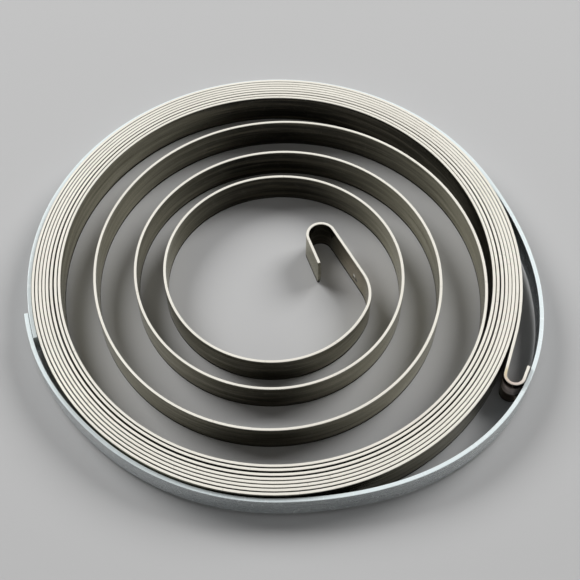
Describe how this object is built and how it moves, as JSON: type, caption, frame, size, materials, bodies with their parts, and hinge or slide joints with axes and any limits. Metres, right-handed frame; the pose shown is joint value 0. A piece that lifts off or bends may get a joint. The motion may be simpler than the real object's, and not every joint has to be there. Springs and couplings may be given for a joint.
{
  "type": "recoil starter spring",
  "caption": "Flat steel strip wound into a spiral with a hook at each end, held closed by a split retainer hoop; it rewinds the pull cord of a small engine's starter.",
  "frame": {"origin": "middle of the hoop's footprint, on the plane of the strip's lower edge", "axes": "+X towards the side where the outer hook is, +Y towards the back of the coil, +Z along the winding axis"},
  "size_m": [0.1144, 0.1118, 0.008],
  "materials": {
    "spring_steel": "oiled dark rolled strip with bright slit edges",
    "zinc_plate": "bright zinc plate, satin"
  },
  "bodies": {
    "root": {"spiral_spring": "spring_steel", "retainer_hoop": "zinc_plate"}
  },
  "joints": []
}
